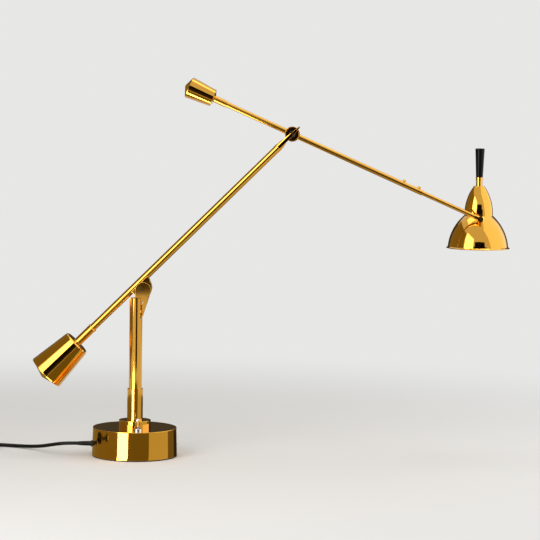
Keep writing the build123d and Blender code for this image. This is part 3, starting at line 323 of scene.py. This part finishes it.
handle_black = dark_mould(
    "handle_black", 0.003, gloss=(0.06, 0.10), grain=400.0, marks=0.02, shine=0.12
)
plug_black = dark_mould(
    "plug_black", 0.012, gloss=(0.34, 0.46), grain=2200.0, marks=0.18, shine=0.35
)
matte_black = dark_mould(
    "matte_black", 0.012, gloss=(0.50, 0.64), grain=1600.0, marks=0.15, shine=0.3
)
sheath_black = dark_mould(
    "sheath_black", 0.006, gloss=(0.36, 0.48), grain=1200.0, marks=0.10, shine=0.22
)
pad_black = dark_mould(
    "pad_black", 0.012, gloss=(0.70, 0.85), grain=2600.0, marks=0.4, shine=0.2
)
blacks = (handle_black, plug_black, matte_black, sheath_black, pad_black)
print("blacks:", [black.name for black in blacks])

# %% [markdown]
# The bulb is opal glass: white, with light spread just under a smooth skin. Only views from
# below the shade show it, and subsurface light gives it the soft edge that plain white lacks.

# %% Opal glass
OPAL_TONES = ((0.86, 0.85, 0.81), (0.80, 0.79, 0.75))

opal, opal_tree, opal_shader = new_finish("opal_glass")
opal_cloud = add_noise(opal_tree, own_coordinates(opal_tree), scale=60.0, detail=2.0)
opal_tree.links.new(
    two_colours(opal_tree, opal_cloud, *OPAL_TONES), opal_shader.inputs["Base Color"]
)
opal_tree.links.new(spread(opal_tree, opal_cloud, 0.12, 0.2), opal_shader.inputs["Roughness"])
opal_shader.inputs["Subsurface Weight"].default_value = 0.3
opal_shader.inputs["Subsurface Scale"].default_value = 0.004
print("glass:", opal.name)

# %% [markdown]
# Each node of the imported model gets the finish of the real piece. The list names the pieces
# that aren't plain polished brass, and the rest are.

# %% Finish the solids
FINISHES = {
    "base_pad": pad_black,
    "base_plate": steel,
    "base_tie_screws": steel,
    "base_ballast": cast_iron,
    "sleeve_nut": steel,
    "swivel_stop_screw": black_steel,
    "terminal_block": matte_black,
    "switch_body": matte_black,
    "switch_nut": chrome,
    "switch_lever": lever_chrome_painted_lighter,
    "cord_gland": matte_black,
    "cord_relief": sheath_black,
    "inner_lead": sheath_black,
    "cord_run": sheath_black,
    "cord_coil": sheath_black,
    "cord_tail": sheath_black,
    "cord_tie": matte_black,
    "plug_body": plug_black,
    "plug_pins": chrome,
    "head_screws": head_screw_brass,
    "shoulder_screw": shoulder_brass,
    "column_wire": sheath_black,
    "elbow_screw": elbow_brass,
    "large_weight_core": cast_iron,
    "lower_arm_wire": sheath_black,
    "elbow_washers": matte_black,
    "small_weight_core": cast_iron,
    "upper_arm_wire": sheath_black,
    "shade_bracket": inner_brass,
    "shade_screw": shade_screw_brass,
    "shade_handle": handle_black,
    "handle_stud": steel,
    "lamp_holder": matte_black,
    "bulb": opal,
}
for node_name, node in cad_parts.items():
    for slot in node.material_slots:
        slot.material = FINISHES.get(node_name, brass)
print("solids finished:", len(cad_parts))

# %% [markdown]
# The cord is one soft line from the base to the plug. A curve with a round bevel is the natural
# way to make it: its few control points are pulled round by their neighbours, so it lies in
# easy bends on the table. The put-away length is wound into a coil out of the picture.

# %% The cord's line
cord_radius = 0.00325
relief_end = Vector((-0.104, 0.0, 0.021))
run_points = [
    (-0.104, 0.0, 0.021),
    (-0.126, 0.0, 0.021),
    (-0.149, 0.011, 0.0166),
    (-0.173, 0.034, 0.0092),
    (-0.200, 0.057, 0.0047),
    (-0.229, 0.0725, 0.0035),
    (-0.257, 0.0798, 0.0037),
    (-0.280, 0.083, 0.00415),
]
tail_points = [
    (-0.353, 0.0295, 0.01115),
    (-0.353, 0.011, 0.01115),
    (-0.3535, -0.008, 0.0074),
    (-0.353, -0.028, 0.0043),
    (-0.352, -0.049, 0.0045),
    (-0.3515, -0.070, 0.007),
    (-0.3515, -0.089, 0.007),
]
coil_centre = Vector((-0.306, 0.036, 0.00415))
coil_inner = 0.026
coil_pitch = 0.007
turns_per_layer = 3
points_per_half_turn = 12


def coil_points():
    """The coil's control points: in on the table, one climb, then out on top."""
    points = []
    halves = 2 * turns_per_layer
    outer = coil_inner + coil_pitch * turns_per_layer
    # The curve cuts inside its control points, so they stand a little further out.
    widen = 1.0 / math.cos(math.pi / (2 * points_per_half_turn)) ** 0.5
    for half in range(2 * halves):
        if half < halves:
            radius = outer - half * coil_pitch / 2
            shift = -coil_pitch / 2 if half % 2 else 0.0
        else:
            radius = coil_inner + (half - halves) * coil_pitch / 2
            shift = coil_pitch / 2 if half % 2 else 0.0
        for step in range(points_per_half_turn):
            share = step / points_per_half_turn
            angle = math.pi * (half + share)
            climb = 0.0 if half < halves else 1.0
            if half == halves:
                climb = share * share * (3.0 - 2.0 * share)
            across = -radius * widen * math.sin(angle)
            along = shift + radius * widen * math.cos(angle)
            points.append(coil_centre + Vector((across, along, climb * coil_pitch)))
    quarter = points_per_half_turn // 2
    for step in range(quarter + 1):
        angle = math.pi * step / points_per_half_turn
        across = -outer * widen * math.sin(angle)
        along = outer * widen * math.cos(angle)
        points.append(coil_centre + Vector((across, along, coil_pitch)))
    return [tuple(point) for point in points]


cord_line = run_points + coil_points() + tail_points
cord_data = bpy.data.curves.new("cord", "CURVE")
cord_data.dimensions = "3D"
cord_data.bevel_depth = cord_radius
cord_data.bevel_resolution = 8
cord_data.use_fill_caps = True
spline = cord_data.splines.new("NURBS")
spline.points.add(len(cord_line) - 1)
for point, place in zip(spline.points, cord_line):
    point.co = (*place, 1.0)
spline.order_u = 3
spline.use_endpoint_u = True
spline.resolution_u = 8
cord = bpy.data.objects.new("cord", cord_data)
bpy.context.scene.collection.objects.link(cord)
cord_data.materials.append(sheath_black)
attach(cord, "base")
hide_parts("cord_run", "cord_coil", "cord_tail")
print("cord control points:", len(cord_line))

# %% [markdown]
# The moulded pieces have relief that a plain solid lacks. It is built point by point, since each
# rib is only a ring and each ridge a short rod: rows of points round an axis are joined into a
# skin, closed on itself for a ring and capped for a rod.

# %% Helpers for ribs and ridges
def ring_points(centre, axis, radius, steps):
    """Points round an axis, evenly spaced."""
    axis = Vector(axis).normalized()
    side = axis.orthogonal().normalized()
    up = axis.cross(side)
    points = []
    for step in range(steps):
        angle = 2.0 * math.pi * step / steps
        points.append(Vector(centre) + radius * (math.cos(angle) * side + math.sin(angle) * up))
    return points


def join_rings(mesh, rings, closed):
    """Join rows of points into a smooth skin."""
    rows = [[mesh.verts.new(point) for point in ring] for ring in rings]
    pairs = list(zip(rows, rows[1:] + rows[:1])) if closed else list(zip(rows, rows[1:]))
    for first, second in pairs:
        for step in range(len(first)):
            following = (step + 1) % len(first)
            corners = (first[step], first[following], second[following], second[step])
            face = mesh.faces.new(corners)
            face.smooth = True
    if not closed:
        mesh.faces.new(list(reversed(rows[0])))
        mesh.faces.new(rows[-1])


def add_rib(mesh, centre, axis, radius, thickness):
    """A round ring, thickness across its section."""
    section_steps = 12
    round_steps = 48
    axis = Vector(axis).normalized()
    rings = []
    for step in range(section_steps):
        angle = 2.0 * math.pi * step / section_steps
        middle = Vector(centre) + axis * (thickness / 2 * math.sin(angle))
        reach = radius + thickness / 2 * math.cos(angle)
        rings.append(ring_points(middle, axis, reach, round_steps))
    join_rings(mesh, rings, True)


def add_ridge(mesh, start, end, radius):
    """A straight ridge with round ends."""
    cap_steps = 5
    round_steps = 12
    start, end = Vector(start), Vector(end)
    axis = (end - start).normalized()
    rings = []
    for centre, way in ((start, -1.0), (end, 1.0)):
        caps = []
        for step in range(cap_steps):
            angle = 0.5 * math.pi * step / cap_steps
            place = centre + axis * (way * radius * math.sin(angle))
            caps.append(ring_points(place, axis, radius * math.cos(angle), round_steps))
        rings += caps[::-1] if way < 0 else caps
    join_rings(mesh, rings, False)


def finished_piece(name, mesh, finish, body):
    """Turn a built mesh into a piece that rides on a body."""
    bmesh.ops.recalc_face_normals(mesh, faces=mesh.faces)
    data = bpy.data.meshes.new(name)
    mesh.to_mesh(data)
    mesh.free()
    data.materials.append(finish)
    piece = bpy.data.objects.new(name, data)
    bpy.context.scene.collection.objects.link(piece)
    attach(piece, body)
    print(name, "faces:", len(data.polygons))


# %% [markdown]
# Where the cord leaves the base, a rubber strain relief keeps it from kinking. It narrows away
# from the base, and round ribs make it bend a little at a time. They shrink along its taper.

# %% The strain relief's ribs
relief_start_x = -0.0835
relief_root_radius = 0.0044
relief_tip_radius = 0.00355
relief_rib_count = 6
relief_rib_thickness = 0.0009

relief_ribs = bmesh.new()
for rib in range(relief_rib_count):
    share = (rib + 0.5) / (relief_rib_count + 0.5)
    rib_x = relief_start_x + share * (relief_end.x - relief_start_x)
    rib_radius = relief_root_radius + share * (relief_tip_radius - relief_root_radius)
    rib_centre = (rib_x, 0.0, relief_end.z)
    add_rib(relief_ribs, rib_centre, (1.0, 0.0, 0.0), rib_radius, relief_rib_thickness)
finished_piece("relief_ribs", relief_ribs, sheath_black, "base")

# %% [markdown]
# The plug's tail is ribbed as the strain relief is, and widens towards the plug. The plug's flat
# top has a row of low ridges for the fingers. Both are part of one moulding, so they are one
# piece here too.

# %% The plug's ribs and grip
plug_start = Vector(tail_points[-1])
plug_tail = 0.016
plug_tail_radius = 0.00375
plug_neck_radius = 0.0052
plug_rib_count = 5
plug_rib_thickness = 0.0011
plug_half_length = 0.017
plug_top = 0.0069
ridge_count = 7
ridge_spacing = 0.0032
ridge_radius = 0.0007
ridge_reach = Vector((0.0105, 0.0, 0.0))

plug_ribs = bmesh.new()
for rib in range(plug_rib_count):
    share = (rib + 0.6) / (plug_rib_count + 0.4)
    rib_radius = plug_tail_radius + share * (plug_neck_radius - plug_tail_radius)
    rib_centre = plug_start - Vector((0.0, share * plug_tail, 0.0))
    add_rib(plug_ribs, rib_centre, (0.0, 1.0, 0.0), rib_radius, plug_rib_thickness)
plug_middle = plug_start + Vector((0.0, -plug_tail - plug_half_length, 0.0))
for ridge in range(ridge_count):
    along = (ridge - ridge_count // 2) * ridge_spacing
    ridge_middle = plug_middle + Vector((0.0, along, plug_top))
    add_ridge(plug_ribs, ridge_middle - ridge_reach, ridge_middle + ridge_reach, ridge_radius)
finished_piece("plug_grip", plug_ribs, plug_black, "base")

# %% [markdown]
# The column turns in its sleeve, and a thin black ring sits in the gap at the sleeve's top: partly
# a seal, and partly painted shade for the seam. It shows in the photograph as one dark line round
# the column.

# %% The sleeve's seal and the painted shade of its seam
seam_ring_height = 0.12355
seam_ring_radius = 0.0127
seam_ring_thickness = 0.0012

sleeve_seal_and_seam_shade = bmesh.new()
add_rib(sleeve_seal_and_seam_shade, (0.0, 0.0, seam_ring_height), (0.0, 0.0, 1.0), seam_ring_radius, seam_ring_thickness)
finished_piece("sleeve_seal_and_seam_shade", sleeve_seal_and_seam_shade, sheath_black, "base")

# %% [markdown]
# The lamp stands on a wide pale floor under a pale sky. Far from the lamp the floor fades into
# the sky's own colour, so there is no horizon from any side. Near the lamp it is plain matt
# colour and keeps the shadows.

# %% The floor
SKY = (0.80, 0.80, 0.79)
FLOOR_COLOUR = (0.83, 0.82, 0.805)
floor_roughness = 0.4
floor_reach = 14.0
fade_start = 0.45
fade_end = 1.7


def seen_directly(tree):
    """1 where the floor or the sky is the background, also in metal and glass."""
    path = tree.nodes.new("ShaderNodeLightPath")
    either = tree.nodes.new("ShaderNodeMath")
    either.operation = "MAXIMUM"
    tree.links.new(path.outputs["Is Camera Ray"], either.inputs[0])
    tree.links.new(path.outputs["Is Glossy Ray"], either.inputs[1])
    any_of = tree.nodes.new("ShaderNodeMath")
    any_of.operation = "MAXIMUM"
    tree.links.new(either.outputs["Value"], any_of.inputs[0])
    tree.links.new(path.outputs["Is Transmission Ray"], any_of.inputs[1])
    return any_of.outputs["Value"]


def floor_finish(name, colour, roughness):
    """A matt paint with the faintest clouds in its tone."""
    finish, tree, shader = new_finish(name)
    cloud = add_noise(tree, own_coordinates(tree), scale=3.0, detail=3.0)
    darker = tuple(0.985 * part for part in colour)
    tree.links.new(two_colours(tree, cloud, colour, darker), shader.inputs["Base Color"])
    shader.inputs["Roughness"].default_value = roughness
    shader.inputs["Specular IOR Level"].default_value = 0.0
    return finish


def fade_to_sky(finish, start, end):
    """Give a finish the sky's colour between two distances from the floor's middle."""
    tree = finish.node_tree
    distance = tree.nodes.new("ShaderNodeVectorMath")
    distance.operation = "LENGTH"
    tree.links.new(own_coordinates(tree), distance.inputs[0])
    far = tree.nodes.new("ShaderNodeMapRange")
    far.interpolation_type = "SMOOTHSTEP"
    far.inputs["From Min"].default_value = start
    far.inputs["From Max"].default_value = end
    tree.links.new(distance.outputs["Value"], far.inputs["Value"])
    share = tree.nodes.new("ShaderNodeMath")
    share.operation = "MULTIPLY"
    tree.links.new(far.outputs["Result"], share.inputs[0])
    tree.links.new(seen_directly(tree), share.inputs[1])
    glow = tree.nodes.new("ShaderNodeEmission")
    glow.inputs["Color"].default_value = (*SKY, 1.0)
    mix = tree.nodes.new("ShaderNodeMixShader")
    tree.links.new(share.outputs["Value"], mix.inputs["Fac"])
    tree.links.new(tree.nodes["Principled BSDF"].outputs["BSDF"], mix.inputs[1])
    tree.links.new(glow.outputs["Emission"], mix.inputs[2])
    tree.links.new(mix.outputs["Shader"], tree.nodes["Material Output"].inputs["Surface"])


def stage_piece(name, corners, finish):
    """One flat face that isn't part of the lamp."""
    mesh = bpy.data.meshes.new(name)
    mesh.from_pydata(corners, [], [tuple(range(len(corners)))])
    mesh.materials.append(finish)
    piece = bpy.data.objects.new(name, mesh)
    bpy.context.scene.collection.objects.link(piece)
    return piece


floor_pale = floor_finish("floor_pale", FLOOR_COLOUR, floor_roughness)
fade_to_sky(floor_pale, fade_start, fade_end)
floor_corners = [
    (-floor_reach, -floor_reach, 0.0),
    (floor_reach, -floor_reach, 0.0),
    (floor_reach, floor_reach, 0.0),
    (-floor_reach, floor_reach, 0.0),
]
stage_piece("floor", floor_corners, floor_pale)
print("the floor fades to sky from", fade_start, "to", fade_end, "m")

# %% [markdown]
# Polished metal shows whatever stands round it, and in an empty pale room it would look pale
# all over. A photographer sets up cards, out of the picture, that draw bands in the metal. Here
# they are flat faces that only reflections show: they shine evenly, and cast no light or shadow
# on the floor. The dark ones draw the black bands, the brown ones deepen the gold, and one
# bright card draws the pale strip on the round base.

# %% Cards for the reflections
def card_finish(name, colour):
    """A card's even tone, which no lamp changes."""
    finish, tree, shader = new_finish(name)
    tree.nodes.remove(shader)
    glow = tree.nodes.new("ShaderNodeEmission")
    glow.inputs["Color"].default_value = (*colour, 1.0)
    tree.links.new(glow.outputs["Emission"], tree.nodes["Material Output"].inputs["Surface"])
    return finish


card_black = card_finish("card_black", (0.008, 0.007, 0.006))
card_umber = card_finish("card_umber", (0.034, 0.025, 0.016))
card_olive = card_finish("card_olive", (0.062, 0.050, 0.028))
card_brown = card_finish("card_brown", (0.245, 0.195, 0.06))
card_bronze = card_finish("card_bronze", (0.19, 0.155, 0.045))
card_sand = card_finish("card_sand", (0.65, 0.62, 0.42))
card_bright = card_finish("card_bright", (10.5, 10.3, 9.8))


def reflected_card(name, corners, finish):
    """A flat card that only reflections show."""
    card = stage_piece(name, corners, finish)
    card.visible_camera = False
    card.visible_diffuse = False
    card.visible_shadow = False


def upright_card(name, start, end, low, high, finish):
    """An upright card between two places on the floor."""
    corners = [(*start, low), (*end, low), (*end, high), (*start, high)]
    reflected_card(name, corners, finish)


# Each upright card's start and end on the floor, lower and upper edge, and tone.
UPRIGHT_CARDS = {
    "card_front": ((-1.35, -4.9), (3.4, -4.9), 0.0, 1.3, card_umber),
    "card_middle": ((-0.9, -4.8), (2.6, -4.8), 0.35, 2.4, card_black),
    "card_left": ((-1.55, -1.1), (-1.25, 2.6), 0.0, 2.2, card_brown),
    "card_right": ((1.50, 0.95), (2.1, 2.9), 0.0, 2.2, card_umber),
    "card_behind": ((-3.4, 3.3), (3.9, 3.3), 0.0, 2.0, card_olive),
}
for card_name, card_values in UPRIGHT_CARDS.items():
    upright_card(card_name, *card_values)
print("upright cards:", len(UPRIGHT_CARDS))

# %% [markdown]
# The round base mirrors the floor in front of it. A point on its side sends the eye's ray off at
# twice its own angle, so a card whose edges follow those rays shows as one upright band with
# straight sides. Each card is given by the band that it has to draw. The far ones lie a little
# higher, clear of the near ones.

# %% Cards on the floor
base_radius = 0.0785
low_layer = 0.002
high_layer = 0.006


def floor_card(name, left, right, near, far, height, finish):
    """A card on the floor, from near to far, that shows as one upright band on the base.

    Left and right say where the band ends, from -1 to 1 across the base.
    """
    steps = 8
    corners = []
    for reach, order in ((near, range(steps + 1)), (far, range(steps, -1, -1))):
        for step in order:
            angle = math.asin(left + (right - left) * step / steps)
            across = base_radius * math.sin(angle) + reach * math.sin(2.0 * angle)
            along = -base_radius * math.cos(angle) - reach * math.cos(2.0 * angle)
            corners.append((across, along, height))
    reflected_card(name, corners, finish)


# Each floor card's left, right, near, far, height and tone.
FLOOR_CARDS = {
    "card_floor_far": (-0.16, 0.40, 3.2, 4.8, high_layer, card_umber),
    "card_floor_wedge": (0.0, 0.24, 1.2, 3.2, high_layer, card_umber),
    "card_floor_middle": (-0.13, 0.365, 0.002, 1.0, low_layer, card_bronze),
    "card_floor_left": (-0.99, -0.365, 0.002, 0.8, low_layer, card_brown),
    "card_floor_side": (0.365, 0.80, 0.002, 0.8, low_layer, card_sand),
    "card_floor_dim": (0.80, 0.93, 0.002, 0.8, low_layer, card_bronze),
    "card_floor_right": (0.93, 0.995, 0.002, 0.8, low_layer, card_umber),
    "card_floor_bright": (-0.365, -0.13, 0.002, 1.2, low_layer, card_bright),
}
for card_name, card_values in FLOOR_CARDS.items():
    floor_card(card_name, *card_values)
print("floor cards:", len(FLOOR_CARDS))

# %% [markdown]
# Plain soft light: a broad lamp to the left, which also draws the bright band down every round
# surface, a weaker one to the right, a long one overhead, and the sky, which fills the shadows.
# The sky is dimmer as a light than it looks, so that the background stays pale and the brass
# isn't washed out.

# %% Lamps and world
LAMP_COLOUR = (1.0, 0.98, 0.94)
sky_light_strength = 0.60
sky_seen_strength = 1.0


def soft_lamp(name, centre, aim, width, height, glow):
    """A rectangular lamp whose face shines with a given glow, whatever its size."""
    data = bpy.data.lights.new(name, "AREA")
    data.shape = "RECTANGLE"
    data.size = width
    data.size_y = height
    data.energy = glow * math.pi * width * height
    data.color = LAMP_COLOUR
    lamp = bpy.data.objects.new(name, data)
    lamp.location = centre
    lamp.rotation_euler = (Vector(aim) - Vector(centre)).to_track_quat("-Z", "Y").to_euler()
    bpy.context.scene.collection.objects.link(lamp)
    print(name, "power in watts:", round(data.energy, 1))


soft_lamp("lamp_left", (-0.95, -2.0, 1.1), (0.5, -1.6, 1.0), width=1.9, height=2.0, glow=3.6)
soft_lamp("lamp_right", (1.25, -0.1, 0.95), (0.2, -0.35, 0.55), width=1.7, height=1.7, glow=0.65)
soft_lamp("lamp_over", (0.2, 0.3, 2.9), (0.2, 0.0, 0.3), width=2.6, height=1.2, glow=1.5)

world = bpy.data.worlds.new("world")
bpy.context.scene.world = world
world.use_nodes = True
world_tree = world.node_tree
sky_light = world_tree.nodes["Background"]
sky_light.inputs["Color"].default_value = (*SKY, 1.0)
sky_light.inputs["Strength"].default_value = sky_light_strength
sky_seen = world_tree.nodes.new("ShaderNodeBackground")
sky_seen.inputs["Color"].default_value = (*SKY, 1.0)
sky_seen.inputs["Strength"].default_value = sky_seen_strength
sky_mix = world_tree.nodes.new("ShaderNodeMixShader")
world_tree.links.new(seen_directly(world_tree), sky_mix.inputs["Fac"])
world_tree.links.new(sky_light.outputs["Background"], sky_mix.inputs[1])
world_tree.links.new(sky_seen.outputs["Background"], sky_mix.inputs[2])
world_tree.links.new(
    sky_mix.outputs["Shader"], world_tree.nodes["World Output"].inputs["Surface"]
)
